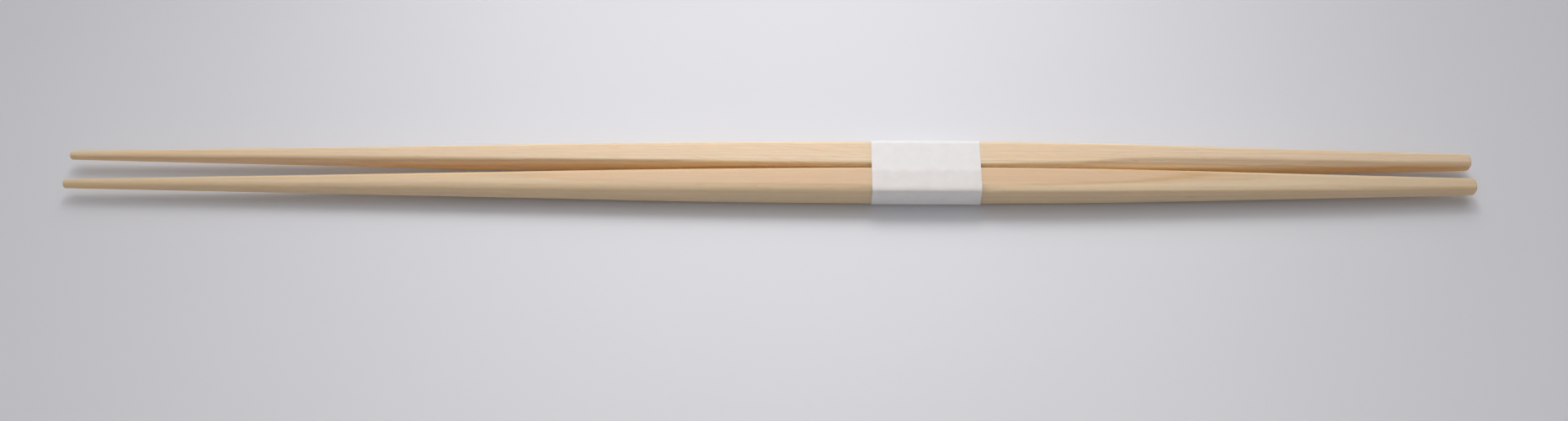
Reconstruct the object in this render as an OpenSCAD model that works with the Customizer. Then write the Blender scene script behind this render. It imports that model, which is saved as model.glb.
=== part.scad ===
// A pair of disposable cedar chopsticks held together by a paper band.
// Each stick is planed from one piece: thick in the belly, tapered to a fine eating tip
// and to a stouter butt, with a bevel along every long edge and rounded end edges.
// X runs along the sticks from tip to butt, Y across the pair, Z up from the surface they lie on.

/* [Chopstick] */
// Length of the taper from the eating tip to the belly
tip_taper_length = 121; // [90:1:170]
// Length of the thick belly between the two tapers
belly_length = 48; // [30:1:70]
// Length of the taper from the belly to the butt
butt_taper_length = 71; // [50:1:110]
// Width of the belly across the pair
belly_width = 5.2; // [4.4:0.1:8]
// Thickness of the belly from top to bottom
belly_thickness = 5; // [4:0.1:7]
// Bevel along the long edges at the belly
belly_bevel = 0.66; // [0.3:0.02:1.2]
// Width of the eating tip
tip_width = 1.6; // [1.3:0.1:3]
// Thickness of the eating tip
tip_thickness = 1.6; // [1.3:0.1:3]
// Bevel along the long edges at the eating tip
tip_bevel = 0.46; // [0.2:0.02:0.6]
// Rounding of the end edges at the eating tip
tip_round = 0.3; // [0.1:0.05:0.6]
// Width of the butt end
butt_width = 2.6; // [2.2:0.1:4]
// Thickness of the butt end
butt_thickness = 2.7; // [2.2:0.1:4]
// Bevel along the long edges at the butt end
butt_bevel = 0.55; // [0.2:0.01:0.8]
// Rounding of the end edges at the butt
butt_round = 0.7; // [0.2:0.05:1]

/* [Paper band] */
// Width of the paper strip along the sticks
band_width = 18.5; // [10:0.5:24]
// How far the band sits from the middle of the belly towards the butt
band_shift = 1.5; // [-5:0.5:5]
// Thickness of the paper
paper_thickness = 0.08; // [0.06:0.01:0.25]
// Width of the glued lap where the two ends of the strip meet underneath
lap_width = 5; // [2:0.5:7]

/* [Fit] */
// Space between the two sticks at the belly
stick_clearance = 0.04; // [0.02:0.01:0.2]
// Angle in degrees by which the sticks open towards the eating tips
splay = 0.2; // [0:0.05:0.4]
// Space between the wood and the paper wrapped round it
paper_clearance = 0.02; // [0.01:0.01:0.1]

/* [Hidden] */
// Share of the belly that lies on the tip side of its thickest place
tip_side_share = 0.66;
// Largest share of a piece's half size that an end rounding may take
round_limit_share = 0.9;
// Straight pieces in each curve and in each end rounding
curve_steps = 8;
round_steps = 4;

stick_length = tip_taper_length + belly_length + butt_taper_length;
tip_end = -stick_length / 2;
butt_end = stick_length / 2;
belly_start = tip_end + tip_taper_length;
belly_end = belly_start + belly_length;
// The thickest place of a stick, where the two touch side by side
crown = belly_start + tip_side_share * belly_length;
// Each curve reaches as far into its taper as it does into the belly
tip_curve = crown - belly_start;
butt_curve = belly_end - crown;
tip_half = min(tip_width, tip_thickness) / 2;
tip_radius = min(tip_round, round_limit_share * tip_half);
tip_radius_share = tip_radius / tip_half;
butt_half = min(butt_width, butt_thickness) / 2;
butt_radius = min(butt_round, round_limit_share * butt_half);
butt_radius_share = butt_radius / butt_half;

// The lap is two papers thick and is what the pair lies on, so the wood starts above both
wood_bottom = 2 * paper_thickness + paper_clearance;
axis_height = wood_bottom + belly_thickness / 2;
stick_pitch = belly_width + stick_clearance;
pair_half_width = stick_pitch / 2 + belly_width / 2;
band_start = (belly_start + belly_end) / 2 + band_shift - band_width / 2;
// Where the outer end of the strip slopes down from the hidden inner end
lap_ramp = 2 * paper_thickness;

cedar_colour = [0.87, 0.75, 0.58];
paper_colour = [0.95, 0.94, 0.92];

// Corners of a rectangle with a bevel at each corner, starting on the underside
function bevelled_rectangle(half_width, half_height, bevel) = [
    [half_width - bevel, -half_height],
    [half_width, bevel - half_height],
    [half_width, half_height - bevel],
    [half_width - bevel, half_height],
    [bevel - half_width, half_height],
    [-half_width, half_height - bevel],
    [-half_width, bevel - half_height],
    [bevel - half_width, -half_height]
];

// Bevelled rectangle round both sticks, a given distance outside the wood on every side
function round_the_pair(outside) = bevelled_rectangle(
    pair_half_width + outside,
    belly_thickness / 2 + outside,
    belly_bevel + outside * (2 - sqrt(2))
);

// Quarter round at an end: how far in from the end each step lies, and the size there as a share
function end_round(radius, radius_share) = [
    for (i = [0:round_steps])
        let (angle = 90 * i / round_steps)
        [radius * (1 - cos(angle)), 1 - radius_share * (1 - sin(angle))]
];

// Smooth curve drawn towards the corner between two points, as the points that follow the first
function corner_curve(first, corner, last) = [
    for (i = [1:curve_steps])
        let (t = i / curve_steps)
        pow(1 - t, 2) * first + 2 * t * (1 - t) * corner + pow(t, 2) * last
];

// Point on the straight line through two points, at a given place along X
function point_at(first, last, x) = first + (last - first) * (x - first[0]) / (last[0] - first[0]);

// A size of the stick at every station from tip to butt, as [x, size], from its size at tip, belly and butt
function along_stick(tip, belly, butt) =
    let (
        tip_arc = end_round(tip_radius, tip_radius_share),
        butt_arc = end_round(butt_radius, butt_radius_share),
        tip_point = [tip_end + tip_radius, tip],
        tip_corner = [belly_start, belly],
        tip_turn = point_at(tip_point, tip_corner, belly_start - tip_curve),
        crown_point = [crown, belly],
        butt_corner = [belly_end, belly],
        butt_point = [butt_end - butt_radius, butt],
        butt_turn = point_at(butt_corner, butt_point, belly_end + butt_curve)
    )
    concat(
        [for (i = [0:round_steps]) [tip_end + tip_arc[i][0], tip * tip_arc[i][1]]],
        [tip_turn],
        corner_curve(tip_turn, tip_corner, crown_point),
        corner_curve(crown_point, butt_corner, butt_turn),
        [for (i = [round_steps:-1:0]) [butt_end - butt_arc[i][0], butt * butt_arc[i][1]]]
    );

// Solid through a row of sections, each a list of points with the same number of corners
module loft(sections) {
    corners = len(sections[0]);
    last = len(sections) - 1;
    polyhedron(
        points = [for (section = sections) each section],
        faces = concat(
            [[for (j = [0:corners - 1]) j]],
            [
                for (i = [0:last - 1], j = [0:corners - 1])
                    let (k = (j + 1) % corners)
                    [i * corners + j, (i + 1) * corners + j, (i + 1) * corners + k, i * corners + k]
            ],
            [[for (j = [corners - 1:-1:0]) last * corners + j]]
        )
    );
}

// One stick about its own axis, through the bevelled section at every station
module chopstick() {
    widths = along_stick(tip_width, belly_width, butt_width);
    heights = along_stick(tip_thickness, belly_thickness, butt_thickness);
    bevels = along_stick(tip_bevel, belly_bevel, butt_bevel);
    loft([
        for (i = [0:len(widths) - 1])
            [
                for (corner = bevelled_rectangle(widths[i][1] / 2, heights[i][1] / 2, bevels[i][1]))
                    [widths[i][0], corner[0], corner[1]]
            ]
    ]);
}

// A stick in its place in the pair, on the front side (-1) or the rear side (1), turned about its crown
module placed_chopstick(side) {
    translate([crown, side * stick_pitch / 2, axis_height])
        rotate([0, 0, -side * splay / 2])
            translate([-crown, 0, 0])
                chopstick();
}

module front_chopstick() {
    color(cedar_colour)
        placed_chopstick(-1);
}

module rear_chopstick() {
    color(cedar_colour)
        placed_chopstick(1);
}

// The strip wrapped once round the pair, its outer end glued over the inner one underneath
module paper_band() {
    inner = round_the_pair(paper_clearance);
    outer = round_the_pair(paper_clearance + paper_thickness);
    ply_bottom = -(belly_thickness / 2 + paper_clearance + paper_thickness);
    lap = [
        [-(lap_width / 2 + lap_ramp), ply_bottom],
        [-lap_width / 2, ply_bottom - paper_thickness],
        [lap_width / 2, ply_bottom - paper_thickness],
        [lap_width / 2, ply_bottom]
    ];
    color(paper_colour)
        translate([band_start, 0, axis_height])
            rotate([90, 0, 90])
                linear_extrude(height = band_width)
                    difference() {
                        polygon(concat(outer, lap));
                        polygon(inner);
                    }
}

front_chopstick();
rear_chopstick();
paper_band();
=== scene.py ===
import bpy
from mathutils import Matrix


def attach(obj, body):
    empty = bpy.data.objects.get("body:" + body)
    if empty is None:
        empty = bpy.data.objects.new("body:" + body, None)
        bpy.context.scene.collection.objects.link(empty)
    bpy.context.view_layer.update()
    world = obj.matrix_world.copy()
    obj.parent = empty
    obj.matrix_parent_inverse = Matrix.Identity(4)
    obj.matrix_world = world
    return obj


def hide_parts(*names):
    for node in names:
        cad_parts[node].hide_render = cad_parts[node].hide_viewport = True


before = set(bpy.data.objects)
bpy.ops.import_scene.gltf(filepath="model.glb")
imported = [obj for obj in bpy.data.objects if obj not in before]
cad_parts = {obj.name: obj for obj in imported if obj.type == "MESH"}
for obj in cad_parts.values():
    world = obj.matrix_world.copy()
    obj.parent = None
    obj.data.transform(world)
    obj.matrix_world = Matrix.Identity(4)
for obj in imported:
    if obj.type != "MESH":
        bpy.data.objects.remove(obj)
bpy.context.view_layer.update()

import math

import bmesh
import bpy
from mathutils import Matrix, Vector, noise

MM = 0.001
ALONG = Vector((1, 0, 0))
ACROSS = Vector((0, 1, 0))
CUT_TOLERANCE = 1e-7

# Sizes of the pair, in millimetres, and half the angle between its sticks
STICK_HALF_LENGTH = 120.0
CROWN = 32.68
TIP_ROUND = 0.3
TIP_HALF_SIZE = 0.8
BUTT_ROUND = 0.7
BUTT_HALF_SIZE = 1.3
STICK_OFFSET = 2.62
AXIS_HEIGHT = 2.68
PAIR_HALF_WIDTH = 5.22
PAIR_HALF_HEIGHT = 2.5
PAIR_BEVEL = 0.66
BAND_START = 17.25
BAND_WIDTH = 18.5
PAPER_CLEARANCE = 0.02
PAPER_THICKNESS = 0.08
LAP_HALF_WIDTH = 2.5
LAP_RAMP = 0.16
HALF_SPLAY = math.radians(0.1)

# Planing and sanding of the sticks: lengths in millimetres, angles, counts and shares
WELD_DISTANCE = 0.0005
FLAT_ENOUGH = math.radians(4)
STICK_CUT_STEP = 1.5
STRAY_REACH = 0.35
STRAY_WAVE = 38
STRAY_FADE = 60
ARRIS_EASE = 0.3
LARGEST_EASE = 0.6
EASE_SEGMENTS = 4
LENGTHWISE_SHARE = 0.05
END_CUT = 0.05
END_STEPS = 6
SANDING_DEPTH = 0.018
SANDING_WAVE_ALONG = 16
SANDING_WAVE_ACROSS = 3
SANDING_PATCH = 20

# Folding of the paper: lengths and places across in millimetres, angles and counts
GLUE_FILM = 0.005
HIDDEN_END_SETBACK = 0.03
FRONT_FOLD_START = -5.32
FRONT_FOLD_END = -5.0
RIDGE_PLACE = -1.2
RIDGE_BACK = -0.5
RIDGE_RISE = 0.07
FRONT_TURN_REACH = 1.3
FRONT_TURN_DROP = 0.6
FRONT_TURN_STEPS = 12
FOLD_ANGLE = math.radians(40)
FOLD_RADIUS = 0.4
FOLD_SEGMENTS = 6
PAPER_EDGE_ANGLE = math.radians(60)
BAND_CUTS = 24
CUT_STEP_ACROSS = 0.5
CUTS_EACH_SIDE = 8


def opaque(red, green, blue):
    return (red, green, blue, 1.0)


# Colours of the marks in the wood, of its end grain and of the paper, and of a painted shade on the paper
WARM_STREAK = opaque(0.83, 0.555, 0.29)
RESIN_DASH = opaque(0.46, 0.27, 0.13)
END_PORE = opaque(0.52, 0.42, 0.32)
END_WALL = opaque(0.92, 0.85, 0.76)
THIN_PULP = opaque(0.77, 0.74, 0.725)
THICK_PULP = opaque(0.87, 0.85, 0.843)
PULP_STRAND = opaque(0.90, 0.89, 0.88)
PULP_SPECK = opaque(0.66, 0.61, 0.55)
# Painted shade for the near part of the paper's top
PAPER_PAINTED_SHADE = opaque(0.95, 0.93, 0.915)


class Tone:
    """A value that comes out of a node. Arithmetic on it adds Math nodes to its board."""

    def __init__(self, board, socket):
        self.board = board
        self.socket = socket

    def output(self, name):
        """Another output of the same node."""
        return Tone(self.board, self.socket.node.outputs[name])

    def math(self, operation, first, second=0.0):
        return self.board.node("ShaderNodeMath", {"operation": operation}, {0: first, 1: second})

    def larger(self, other):
        return self.math("MAXIMUM", self, other)

    def __add__(self, other):
        return self.math("ADD", self, other)

    def __radd__(self, other):
        return self.math("ADD", other, self)

    def __sub__(self, other):
        return self.math("SUBTRACT", self, other)

    def __rsub__(self, other):
        return self.math("SUBTRACT", other, self)

    def __mul__(self, other):
        return self.math("MULTIPLY", self, other)

    def __rmul__(self, other):
        return self.math("MULTIPLY", other, self)

    def __truediv__(self, other):
        return self.math("DIVIDE", self, other)

    def __rtruediv__(self, other):
        return self.math("DIVIDE", other, self)

    def __pow__(self, other):
        return self.math("POWER", self, other)

    def __rpow__(self, other):
        return self.math("POWER", other, self)

    def __abs__(self):
        return self.math("ABSOLUTE", self)

    def __floor__(self):
        return self.math("FLOOR", self)


class NodeBoard:
    """The nodes of a material or of the room, cleared, and the one way that new ones are made."""

    def __init__(self, owner):
        owner.use_nodes = True
        self.tree = owner.node_tree
        self.tree.nodes.clear()

    def node(self, kind, settings=None, values=None, output=0):
        """Adds a node, with its settings first and then the values or links of its sockets."""
        made = self.tree.nodes.new(kind)
        for name, setting in (settings or {}).items():
            if name == "stops":
                self.set_stops(made.color_ramp, setting)
            else:
                setattr(made, name, setting)
        for name, value in (values or {}).items():
            if isinstance(value, Tone):
                self.tree.links.new(value.socket, made.inputs[name])
            else:
                made.inputs[name].default_value = value
        return Tone(self, made.outputs[output]) if made.outputs else None

    def set_stops(self, ramp, stops):
        """Gives a ramp grey stops, each a position and a share, with smooth steps between them."""
        ramp.interpolation = "EASE"
        while len(ramp.elements) < len(stops):
            ramp.elements.new(1.0)
        for element, (position, share) in zip(ramp.elements, stops):
            element.position = position
            element.color = opaque(share, share, share)


class Finish(NodeBoard):
    """A material, and the patterns that finishes are made of."""

    def __init__(self, name):
        self.material = bpy.data.materials.new(name)
        super().__init__(self.material)

    def millimetres(self, centre=(0.0, 0.0, 0.0)):
        """Place on the piece, in millimetres from a centre."""
        place = self.node("ShaderNodeTexCoord", output="Object")
        shift = tuple(-part for part in centre)
        return self.node(
            "ShaderNodeMapping",
            values={"Vector": place, "Location": shift, "Scale": (1 / MM, 1 / MM, 1 / MM)},
        )

    def cloud(self, vector, scale=1.0, detail=2.0, roughness=0.5, distortion=0.0):
        return self.node(
            "ShaderNodeTexNoise",
            values={
                "Vector": vector,
                "Scale": scale,
                "Detail": detail,
                "Roughness": roughness,
                "Distortion": distortion,
            },
        )

    def grain(self, vector, along, across, **cloud):
        """A cloud with one scale along the stick and another across it."""
        scale = (along, across, across)
        drawn_out = self.node("ShaderNodeVectorMath", {"operation": "MULTIPLY"}, {0: vector, 1: scale})
        return self.cloud(drawn_out, **cloud)

    def ease(self, value, start, end, low=0.0, high=1.0):
        """Goes smoothly from low to high while the value goes from start to end."""
        return self.node(
            "ShaderNodeMapRange",
            {"interpolation_type": "SMOOTHSTEP"},
            {"Value": value, "From Min": start, "From Max": end, "To Min": low, "To Max": high},
        )

    def blend(self, share, first, second, way="MIX"):
        """Colour between two colours."""
        return self.node(
            "ShaderNodeMix",
            {"data_type": "RGBA", "blend_type": way},
            {0: share, 6: first, 7: second},
            output=2,
        )

    def follow_rows(self, along, rows):
        """Share that follows rows along a stick, each a place in millimetres and the share there."""
        start = rows[0][0]
        length = rows[-1][0] - start
        stops = [((place - start) / length, share) for place, share in rows]
        return self.node("ShaderNodeValToRGB", {"stops": stops}, {0: (along - start) / length})

    def grey(self, value):
        return self.node("ShaderNodeCombineColor", values={0: value, 1: value, 2: value})

    def surface(self, colour, roughness, height, depth, strength, constants):
        """Ends the finish in one shader, with a fine relief whose depth is in millimetres."""
        relief = self.node(
            "ShaderNodeBump",
            values={"Strength": strength, "Distance": depth * MM, "Height": height},
        )
        values = {"Base Color": colour, "Roughness": roughness, "Normal": relief}
        values.update(constants)
        shader = self.node("ShaderNodeBsdfPrincipled", values=values)
        self.node("ShaderNodeOutputMaterial", values={"Surface": shader})
        return self.material


def cedar(name, stick_y, pith, rings, heart, figure, sapwood, latewood, heartwood_and_glow):
    """Planed cedar: growth rings about a pith line, fibres along the stick, end grain on its ends.

    The pith is given across and up from the stick's axis, in millimetres. Rings, heart and figure hold
    the measures of the growth rings, of the heart and of the streaks in the planed faces. The heart's
    colour is the wood's own, and on the rear stick partly a painted glow of light bounced between the
    sticks.
    """
    finish = Finish(name)
    place = finish.millimetres((0.0, stick_y, AXIS_HEIGHT))
    along = finish.node("ShaderNodeSeparateXYZ", values={"Vector": place}, output="X")
    across = along.output("Y")
    up = along.output("Z")
    board_start = (figure["board_start"], 0.0, 0.0)
    plank = finish.node("ShaderNodeVectorMath", {"operation": "ADD"}, {0: place, 1: board_start})

    # Rings: distance from the pith, which leans, wanders and ripples
    wander = finish.grain(plank, along=0.016, across=0.06, detail=1.0) - 0.5
    waves = finish.grain(plank, along=0.16, across=0.35, detail=2.0) - 0.5
    from_pith_y = across - pith[0]
    from_pith_z = up - pith[1]
    radius = (from_pith_y * from_pith_y + from_pith_z * from_pith_z) ** 0.5
    depth = radius + along * rings["lean"] + wander * rings["wander"] + waves * rings["ripple"]
    growth = finish.node("ShaderNodeTexNoise", {"noise_dimensions": "1D"}, {"W": depth, "Scale": 0.9})
    phase = depth / rings["width"] + growth * 1.4
    ring = math.floor(phase)
    through = phase - ring
    late = finish.ease(through, 0.35, 0.92) * (1 - finish.ease(through, 0.93, 1.0))
    year = finish.node("ShaderNodeTexWhiteNoise", {"noise_dimensions": "1D"}, {"W": ring})

    # Heartwood near the pith, with a darker line where it meets the sapwood; on the rear stick it is partly
    # painted light, a golden glow lighter than the sapwood for light bounced between the sticks
    edge = radius + along * heart["lean"] + wander * heart["wander"] + waves * 0.15 - heart["edge"]
    inside_heart = 1 - finish.ease(edge, -heart["fade"], heart["fade"])
    heart_line = 1 - finish.ease(abs(edge), 0.0, heart["fade"])

    # Fibres and colour zones, drawn out along the stick
    fibre = finish.grain(plank, along=0.06, across=2.6, detail=3.0, roughness=0.6)
    hair = finish.grain(plank, along=0.3, across=8.0, detail=2.0, roughness=0.6)
    zone = finish.grain(plank, along=0.02, across=0.5, detail=2.0, roughness=0.45)
    dash = finish.grain(plank, along=0.35, across=6.0, detail=1.0)
    warm = finish.grain(plank, along=0.014, across=0.8, detail=2.0, roughness=0.5)
    slanted = finish.node(
        "ShaderNodeVectorRotate",
        {"rotation_type": "Z_AXIS"},
        {"Vector": plank, "Angle": math.radians(figure["slant"])},
    )
    curl = finish.grain(slanted, along=0.22, across=3.2, detail=2.0, distortion=0.4)
    streaks = finish.ease(zone, 0.38, 0.60, 0.6, 1.0) * finish.follow_rows(along, heart["share"])
    curls = finish.ease(curl, 0.5, 0.72) * finish.follow_rows(along, figure["curl"])

    wood = finish.blend(finish.ease(warm, 0.5, 0.7) * figure["warm"], sapwood, WARM_STREAK)
    # The heart's colour: the wood's own, and on the rear stick partly a painted glow of light bounced
    # between the sticks
    wood = finish.blend(inside_heart * streaks, wood, heartwood_and_glow)
    wood = finish.blend(late * (0.3 + year * 0.7) * figure["late"], wood, latewood)
    wood = finish.blend(curls, wood, latewood)
    wood = finish.blend(heart_line * finish.follow_rows(along, heart["line"]), wood, latewood)
    wood = finish.blend(finish.ease(dash, 0.66, 0.80) * 0.3, wood, RESIN_DASH)
    shade = 0.82 + fibre * 0.21 + hair * 0.15
    wood = finish.blend(1.0, wood, finish.grey(shade), "MULTIPLY")

    # End grain drinks light: darker and rougher where the surface looks along the stick
    facing = finish.node("ShaderNodeNewGeometry", output="Normal")
    facing_along = finish.node("ShaderNodeSeparateXYZ", values={"Vector": facing}, output="X")
    end = finish.ease(abs(facing_along), 0.45, 0.95)
    pores = finish.grain(plank, along=1.0, across=16.0, detail=2.0)
    speckle = finish.blend(pores, END_PORE, END_WALL)
    cut = finish.blend(1.0, wood, speckle, "MULTIPLY")
    colour = finish.blend(end, wood, cut)

    roughness = 0.52 + fibre * 0.16 - late * 0.06 + end * 0.18
    height = fibre * 0.6 + hair * 0.4 + late * 0.25 + pores * end
    constants = {
        "Specular IOR Level": 0.38,
        "Subsurface Weight": 0.35,
        "Subsurface Radius": (1.0, 0.62, 0.32),
        "Subsurface Scale": 0.003,
    }
    return finish.surface(colour, roughness, height, depth=0.035, strength=0.45, constants=constants)


def band_paper():
    """Plain white wrapping paper: cloudy stock with fine fibres and a soft tooth."""
    finish = Finish("band_paper")
    place = finish.millimetres()
    stock = finish.cloud(place, scale=0.55, detail=3.0, roughness=0.6)
    tooth = finish.cloud(place, scale=5.0, detail=3.0, roughness=0.65)
    strand = finish.cloud(place, scale=1.1, detail=2.0, roughness=0.4, distortion=2.2)
    strands = 1 - finish.ease(abs(strand - 0.5), 0.0, 0.025)
    pulp = finish.blend(stock, THIN_PULP, THICK_PULP)
    pulp = finish.blend(strands * 0.35, pulp, PULP_STRAND)
    speck = finish.ease(finish.cloud(place, scale=2.4, detail=1.0), 0.70, 0.80)
    pulp = finish.blend(speck * 0.22, pulp, PULP_SPECK)
    # Painted shade: from the front fold to the ridge the paper's top is darkened a little, for the shade
    # where it tilts away from the light
    across = finish.node("ShaderNodeSeparateXYZ", values={"Vector": place}, output="Y")
    behind_fold = finish.ease(across, FRONT_FOLD_START, FRONT_FOLD_END)
    behind_ridge = finish.ease(across + stock * 0.8, RIDGE_PLACE, RIDGE_BACK)
    painted_shade_near_part = behind_fold * (1 - behind_ridge)
    colour = finish.blend(painted_shade_near_part, pulp, PAPER_PAINTED_SHADE, "MULTIPLY")
    roughness = 0.82 + tooth * 0.12
    height = tooth * 0.7 + strands * 0.5 + stock * 0.6
    constants = {"Specular IOR Level": 0.25}
    return finish.surface(colour, roughness, height, depth=0.03, strength=0.35, constants=constants)


def table_top():
    """Pale matt table, very slightly clouded."""
    finish = Finish("table_top")
    place = finish.millimetres()
    cloud = finish.cloud(place, scale=0.02, detail=3.0)
    grit = finish.cloud(place, scale=1.5, detail=2.0)
    colour = finish.blend(cloud, opaque(0.735, 0.735, 0.775), opaque(0.765, 0.765, 0.80))
    roughness = 0.78 + grit * 0.08
    constants = {"Specular IOR Level": 0.2}
    return finish.surface(colour, roughness, grit, depth=0.01, strength=0.2, constants=constants)


def keep_piece(name, mesh_source, finish):
    """Object at the origin from a finished bmesh, which is freed."""
    mesh = bpy.data.meshes.new(name)
    mesh_source.to_mesh(mesh)
    mesh_source.free()
    mesh.materials.append(finish)
    piece = bpy.data.objects.new(name, mesh)
    bpy.context.scene.collection.objects.link(piece)
    return piece


def smooth_with_flat_faces(piece):
    """Smooth shading in which the broad planed faces stay flat."""
    for face in piece.data.polygons:
        face.use_smooth = True
    flats = piece.modifiers.new("flat_faces", "WEIGHTED_NORMAL")
    flats.weight = 100
    flats.keep_sharp = True


def cut_across(piece, places, axis):
    """Cuts every face of a bmesh where it crosses the given places along an axis."""
    for place in places:
        bmesh.ops.bisect_plane(
            piece,
            geom=piece.verts[:] + piece.edges[:] + piece.faces[:],
            dist=CUT_TOLERANCE,
            plane_co=axis * (place * MM),
            plane_no=axis,
        )


def axis_across(side, along):
    """How far across the pair a stick's axis lies, at a place along it."""
    return side * (STICK_OFFSET - (along - CROWN) * math.tan(HALF_SPLAY))


def between(rows, along):
    """Values at a place along a stick, going smoothly from row to row. A row starts with its place."""
    for row, following in zip(rows, rows[1:]):
        if along <= following[0]:
            share = max(0.0, (along - row[0]) / (following[0] - row[0]))
            share = share * share * (3 - 2 * share)
            return [first + (last - first) * share for first, last in zip(row[1:], following[1:])]
    return rows[-1][1:]


def stray(along, arris, face):
    """How far planing by hand strays into a face beside an arris, less towards the ends of the stick."""
    full = min(1.0, (STICK_HALF_LENGTH - abs(along)) / STRAY_FADE)
    wave = noise.noise(Vector((along / STRAY_WAVE, arris, face)))
    return max(0.0, STRAY_REACH * full * wave)


def plane_unevenly(stick, side, front_arris):
    """Shifts the two edges of each bevel along the faces beside it, by rows or as planing strays."""
    for vert in stick.verts:
        place = vert.co / MM
        across = place.y - axis_across(side, place.x)
        up = place.z - AXIS_HEIGHT
        on_broad_face = abs(up) > abs(across)
        if across < 0 < up:
            in_broad_face, in_side_face, _ = between(front_arris, place.x)
        else:
            # Any numbers will do that differ from arris to arris and from face to face
            arris = 3 * side + math.copysign(5, across) + math.copysign(11, up)
            in_broad_face = stray(place.x, arris, face=0.5)
            in_side_face = stray(place.x, arris, face=7.5)
        if on_broad_face:
            vert.co.y -= math.copysign(MM, across) * in_broad_face
        else:
            vert.co.z -= math.copysign(MM, up) * in_side_face


def rounded_end(stick, outward, radius, half_size, axis_y):
    """Closes a stick's open end and rounds its end edge off, in steps that each grow from the last face."""
    rim = [edge for edge in stick.edges if edge.is_boundary and edge.verts[0].co.x * outward > 0]
    cap = bmesh.ops.contextual_create(stick, geom=rim)["faces"][0]
    size = 1.0
    reach = 0.0
    for i in range(1, END_STEPS + 1):
        angle = math.radians(90) * i / END_STEPS
        new_size = 1 - radius / half_size * (1 - math.cos(angle))
        new_reach = (radius + END_CUT) * math.sin(angle)
        grown = bmesh.ops.extrude_discrete_faces(stick, faces=[cap])["faces"]
        cap = grown[0]
        centre = Matrix.Translation((-cap.verts[0].co.x, -axis_y * MM, -AXIS_HEIGHT * MM))
        shrink = new_size / size
        bmesh.ops.scale(stick, vec=(1, shrink, shrink), space=centre, verts=cap.verts)
        bmesh.ops.translate(stick, vec=(outward * (new_reach - reach) * MM, 0, 0), verts=cap.verts)
        size = new_size
        reach = new_reach


def eased_arrises(stick, side, front_arris):
    """Rounds the long edges of a stick off, each by its own radius along the stick. Gives a new bmesh."""
    weights = stick.edges.layers.float.new("bevel_weight_edge")
    for edge in stick.edges:
        run = edge.verts[1].co - edge.verts[0].co
        if abs(run.x) > LENGTHWISE_SHARE * run.length:
            middle = (edge.verts[0].co + edge.verts[1].co) / (2 * MM)
            across = middle.y - axis_across(side, middle.x)
            on_front_arris = across < 0 < middle.z - AXIS_HEIGHT
            radius = between(front_arris, middle.x)[2] if on_front_arris else ARRIS_EASE
            edge[weights] = radius / LARGEST_EASE
    mesh = bpy.data.meshes.new("planed_stick")
    stick.to_mesh(mesh)
    stick.free()
    planed = bpy.data.objects.new("planed_stick", mesh)
    bpy.context.scene.collection.objects.link(planed)
    rounding = planed.modifiers.new("rounding", "BEVEL")
    rounding.limit_method = "WEIGHT"
    rounding.offset_type = "OFFSET"
    rounding.width = LARGEST_EASE * MM
    rounding.segments = EASE_SEGMENTS
    rounding.profile = 0.5
    rounded = bmesh.new()
    rounded.from_object(planed, bpy.context.evaluated_depsgraph_get())
    bpy.data.objects.remove(planed)
    bpy.data.meshes.remove(mesh)
    return rounded


def sanded_stick(node, name, side, finish, front_arris):
    """A stick from its node: planed a little unevenly, its arrises and ends rounded by sanding."""
    stick = bmesh.new()
    stick.from_mesh(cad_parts[node].data)
    bmesh.ops.remove_doubles(stick, verts=stick.verts, dist=WELD_DISTANCE * MM)
    bmesh.ops.join_triangles(
        stick,
        faces=stick.faces,
        angle_face_threshold=FLAT_ENOUGH,
        angle_shape_threshold=math.pi,
    )
    ends = ((-1, TIP_ROUND, TIP_HALF_SIZE), (1, BUTT_ROUND, BUTT_HALF_SIZE))
    for outward, end_radius, _ in ends:
        bmesh.ops.bisect_plane(
            stick,
            geom=stick.verts[:] + stick.edges[:] + stick.faces[:],
            dist=CUT_TOLERANCE,
            plane_co=(outward * (STICK_HALF_LENGTH - end_radius - END_CUT) * MM, 0, 0),
            plane_no=(outward, 0, 0),
            clear_outer=True,
        )
    last_cut = round(STICK_HALF_LENGTH / STICK_CUT_STEP) - 1
    cut_across(stick, [STICK_CUT_STEP * i for i in range(-last_cut, last_cut + 1)], ALONG)
    plane_unevenly(stick, side, front_arris)
    stick = eased_arrises(stick, side, front_arris)
    for outward, end_radius, half_size in ends:
        rounded_end(stick, outward, end_radius, half_size, axis_across(side, outward * STICK_HALF_LENGTH))
    bmesh.ops.recalc_face_normals(stick, faces=stick.faces)
    stick.normal_update()
    uneven = SANDING_DEPTH * MM
    for vert in stick.verts:
        place = vert.co / MM
        wave_y = place.y / SANDING_WAVE_ACROSS + SANDING_PATCH
        wave_z = place.z / SANDING_WAVE_ACROSS
        wave = noise.noise(Vector((place.x / SANDING_WAVE_ALONG, wave_y, wave_z)))
        vert.co -= vert.normal * uneven * (0.5 + 0.5 * wave)
    piece = keep_piece(name, stick, finish)
    smooth_with_flat_faces(piece)
    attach(piece, "root")
    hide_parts(node)


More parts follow.
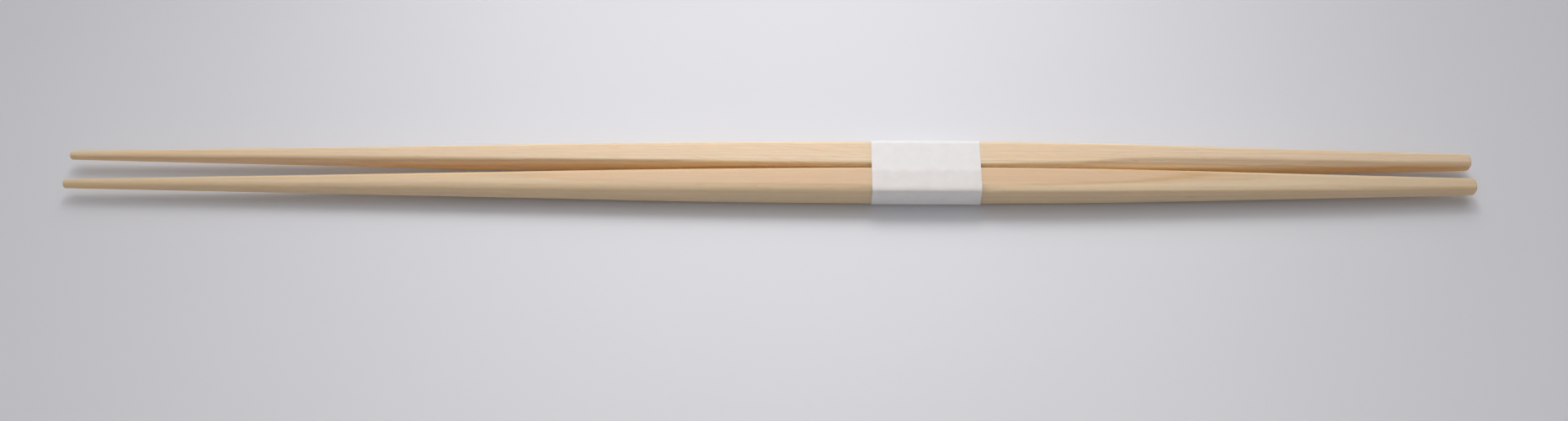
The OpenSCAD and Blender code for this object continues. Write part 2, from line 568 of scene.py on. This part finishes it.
def wound_band(finish):
    """The strip of paper, from its hidden end under the pair, once round both sticks and over itself."""
    out = PAPER_CLEARANCE + PAPER_THICKNESS
    side = PAIR_HALF_WIDTH + out
    half_height = PAIR_HALF_HEIGHT + out
    bevel = PAIR_BEVEL + out * (2 - math.sqrt(2))
    floor = AXIS_HEIGHT - half_height
    top = AXIS_HEIGHT + half_height
    lap = 0.0
    # Over the front edge the paper turns in a curve that tightens towards the side
    front_turn = []
    for i in range(FRONT_TURN_STEPS + 1):
        t = i / FRONT_TURN_STEPS
        front_turn.append((FRONT_TURN_REACH * (1 - t) ** 2 - side, top - FRONT_TURN_DROP * t ** 2))
    path = [
        (-LAP_HALF_WIDTH + HIDDEN_END_SETBACK, floor + GLUE_FILM),
        (side - bevel, floor),
        (side, floor + bevel),
        (side, top - bevel),
        (side - bevel, top),
        (RIDGE_PLACE, top + RIDGE_RISE),
        *front_turn,
        (-side, floor + bevel),
        (-(side - bevel), floor),
        (-(LAP_HALF_WIDTH + LAP_RAMP), floor),
        (-LAP_HALF_WIDTH, lap),
        (LAP_HALF_WIDTH, lap),
    ]
    strip = bmesh.new()
    corners = [strip.verts.new((BAND_START * MM, y * MM, z * MM)) for y, z in path]
    line = [strip.edges.new(pair) for pair in zip(corners, corners[1:])]
    swept = bmesh.ops.extrude_edge_only(strip, edges=line)["geom"]
    far_side = [item for item in swept if isinstance(item, bmesh.types.BMVert)]
    bmesh.ops.translate(strip, verts=far_side, vec=(BAND_WIDTH * MM, 0, 0))
    folds = [edge for edge in strip.edges if len(edge.link_faces) == 2]
    sharp = [edge for edge in folds if edge.calc_face_angle() > FOLD_ANGLE]
    bmesh.ops.bevel(
        strip,
        geom=sharp,
        offset=FOLD_RADIUS * MM,
        offset_type="OFFSET",
        affect="EDGES",
        segments=FOLD_SEGMENTS,
        profile=0.5,
        material=-1,
    )
    cut_across(strip, [BAND_START + BAND_WIDTH * i / BAND_CUTS for i in range(1, BAND_CUTS)], ALONG)
    cut_across(strip, [CUT_STEP_ACROSS * i for i in range(-CUTS_EACH_SIDE, CUTS_EACH_SIDE + 1)], ACROSS)
    bmesh.ops.recalc_face_normals(strip, faces=strip.faces)
    bmesh.ops.solidify(strip, geom=strip.faces[:], thickness=PAPER_THICKNESS * MM)
    strip.normal_update()
    for edge in strip.edges:
        edge.smooth = edge.calc_face_angle() < PAPER_EDGE_ANGLE
    piece = keep_piece("band_strip", strip, finish)
    smooth_with_flat_faces(piece)
    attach(piece, "root")
    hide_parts("paper_band")
    return piece


# The wood of the two sticks: the front one sawn flat to the rings, the rear one across them
front_cedar = cedar(
    "front_cedar",
    stick_y=-STICK_OFFSET,
    pith=(1.4, 10.0),
    rings={"width": 1.3, "lean": 0.001, "wander": 0.5, "ripple": 0.15},
    heart={
        "edge": 8.09,
        "fade": 0.12,
        "lean": 0.0025,
        "wander": 0.1,
        "share": [(-120, 0.6), (-10, 0.75), (17, 0.9), (36, 1.0), (120, 1.0)],
        "line": [(-120, 0.2), (20, 0.15), (38, 0.3), (58, 0.95), (120, 0.9)],
    },
    figure={
        "late": 0.42,
        "board_start": 310.0,
        "warm": 0.4,
        "slant": -9,
        "curl": [(-120, 0.1), (-20, 0.15), (17, 0.25), (40, 0.15), (120, 0.1)],
    },
    sapwood=opaque(0.725, 0.565, 0.38),
    latewood=opaque(0.63, 0.41, 0.22),
    heartwood_and_glow=opaque(0.71, 0.49, 0.32),
)
# Painted light in part: the rear stick's heart lies on its side towards the front stick and is lighter and
# more golden than its sapwood, partly its own colour and partly a painted glow of light bounced between the
# sticks
rear_cedar = cedar(
    "rear_cedar",
    stick_y=STICK_OFFSET,
    pith=(-24.0, -7.0),
    rings={"width": 0.65, "lean": 0.004, "wander": 2.0, "ripple": 0.6},
    heart={
        "edge": 23.8,
        "fade": 0.4,
        "lean": 0.0,
        "wander": 0.5,
        "share": [
            (-120, 0.1),
            (-88, 0.15),
            (-55, 1.0),
            (-12, 0.9),
            (18, 0.35),
            (48, 0.4),
            (70, 0.8),
            (120, 0.7),
        ],
        "line": [(-120, 0.0), (120, 0.0)],
    },
    figure={
        "late": 0.55,
        "board_start": -95.0,
        "warm": 0.3,
        "slant": 10,
        "curl": [(-120, 0.05), (-50, 0.1), (-15, 0.28), (17, 0.36), (38, 0.22), (75, 0.1), (120, 0.1)],
    },
    sapwood=opaque(0.80, 0.62, 0.435),
    latewood=opaque(0.64, 0.415, 0.22),
    heartwood_and_glow=opaque(0.96, 0.60, 0.25),
)

# The upper front arris of each stick, by place along it: how much further than planned its bevel
# reaches into the top and into the side, and how far the bevel's edges are rounded off
FRONT_STICK_ARRIS = [
    (-120, 0.0, 0.0, 0.3),
    (-80, 0.2, 0.0, 0.35),
    (-35, 0.5, 0.0, 0.5),
    (8, 0.5, 0.0, 0.5),
    (17, 0.43, 0.0, 0.4),
    (35.5, 0.43, 0.0, 0.35),
    (39.5, 0.3, -0.46, 0.28),
    (62, 0.3, -0.46, 0.28),
    (90, 0.2, -0.38, 0.28),
    (118, 0.0, 0.0, 0.3),
]
REAR_STICK_ARRIS = [
    (-120, 0.0, 0.0, 0.3),
    (-80, 0.0, 0.2, 0.3),
    (-40, 0.0, 0.55, 0.3),
    (-20, -0.05, 0.42, 0.3),
    (-4, -0.25, 0.12, 0.28),
    (8, -0.3, 0.03, 0.27),
    (17, -0.33, -0.02, 0.25),
    (36, -0.37, -0.1, 0.2),
    (50, -0.1, 0.15, 0.28),
    (64, 0.9, 0.45, 0.3),
    (78, 0.85, 0.5, 0.3),
    (92, 0.5, 0.45, 0.3),
    (112, 0.0, 0.15, 0.3),
    (120, 0.0, 0.0, 0.3),
]
sanded_stick("front_chopstick", "front_stick", -1, front_cedar, FRONT_STICK_ARRIS)
sanded_stick("rear_chopstick", "rear_stick", 1, rear_cedar, REAR_STICK_ARRIS)
band_strip = wound_band(band_paper())

# Table, in metres, just below the paper that rests on it
TABLE_HALF_SIZE = 4.0
TABLE_HEIGHT = -0.00001
table_mesh = bmesh.new()
bmesh.ops.create_grid(table_mesh, x_segments=1, y_segments=1, size=TABLE_HALF_SIZE)
bmesh.ops.translate(table_mesh, verts=table_mesh.verts, vec=(0, 0, TABLE_HEIGHT))
table = keep_piece("table", table_mesh, table_top())

# Camera where the photograph was taken from, looking down at 58.66 degrees
CAMERA_PLACE = Vector((2.413, -160.42, 253.48)) * MM
CAMERA_TILT = math.radians(90 - 58.66)
CAMERA_ROLL = math.radians(0.221)
camera_data = bpy.data.cameras.new("camera")
camera_data.lens = 40.0
camera_data.sensor_width = 36.0
camera_data.sensor_fit = "HORIZONTAL"
camera_data.clip_start = 0.005
camera = bpy.data.objects.new("camera", camera_data)
bpy.context.scene.collection.objects.link(camera)
camera.matrix_world = (
    Matrix.Translation(CAMERA_PLACE)
    @ Matrix.Rotation(CAMERA_TILT, 4, "X")
    @ Matrix.Rotation(CAMERA_ROLL, 4, "Z")
)
bpy.context.scene.camera = camera

# Soft daylight from behind the pair, and a softbox that brightens the middle
LIGHT_PLACE = Vector((0.0, 0.222, 0.284))
LIGHT_AIM = Vector((0.0, 0.025, 0.0)) - LIGHT_PLACE
daylight = bpy.data.lights.new("daylight", "SUN")
daylight.energy = 0.92
daylight.angle = math.radians(60)
softbox = bpy.data.lights.new("softbox", "AREA")
softbox.shape = "RECTANGLE"
softbox.size = 0.12
softbox.size_y = 0.16
softbox.spread = math.radians(46)
softbox.energy = 0.055
for light in (daylight, softbox):
    lamp = bpy.data.objects.new(light.name, light)
    bpy.context.scene.collection.objects.link(lamp)
    lamp.location = LIGHT_PLACE
    lamp.rotation_euler = LIGHT_AIM.to_track_quat("-Z", "Y").to_euler()
    lamp.visible_camera = False

# Even light from the room, which the camera and mirrors see as a grey backdrop
room = bpy.data.worlds.new("room")
room_board = NodeBoard(room)
room_light = room_board.node(
    "ShaderNodeBackground",
    values={"Color": opaque(1.0, 1.0, 1.0), "Strength": 0.345},
)
room_backdrop = room_board.node(
    "ShaderNodeBackground",
    values={"Color": opaque(0.45, 0.45, 0.47), "Strength": 1.0},
)
camera_ray = room_board.node("ShaderNodeLightPath", output="Is Camera Ray")
seen = camera_ray.larger(camera_ray.output("Is Glossy Ray"))
seen = seen.larger(camera_ray.output("Is Transmission Ray"))
room_choice = room_board.node("ShaderNodeMixShader", values={0: seen, 1: room_light, 2: room_backdrop})
room_board.node("ShaderNodeOutputWorld", values={"Surface": room_choice})
bpy.context.scene.world = room

bpy.context.scene.view_settings.view_transform = "Standard"
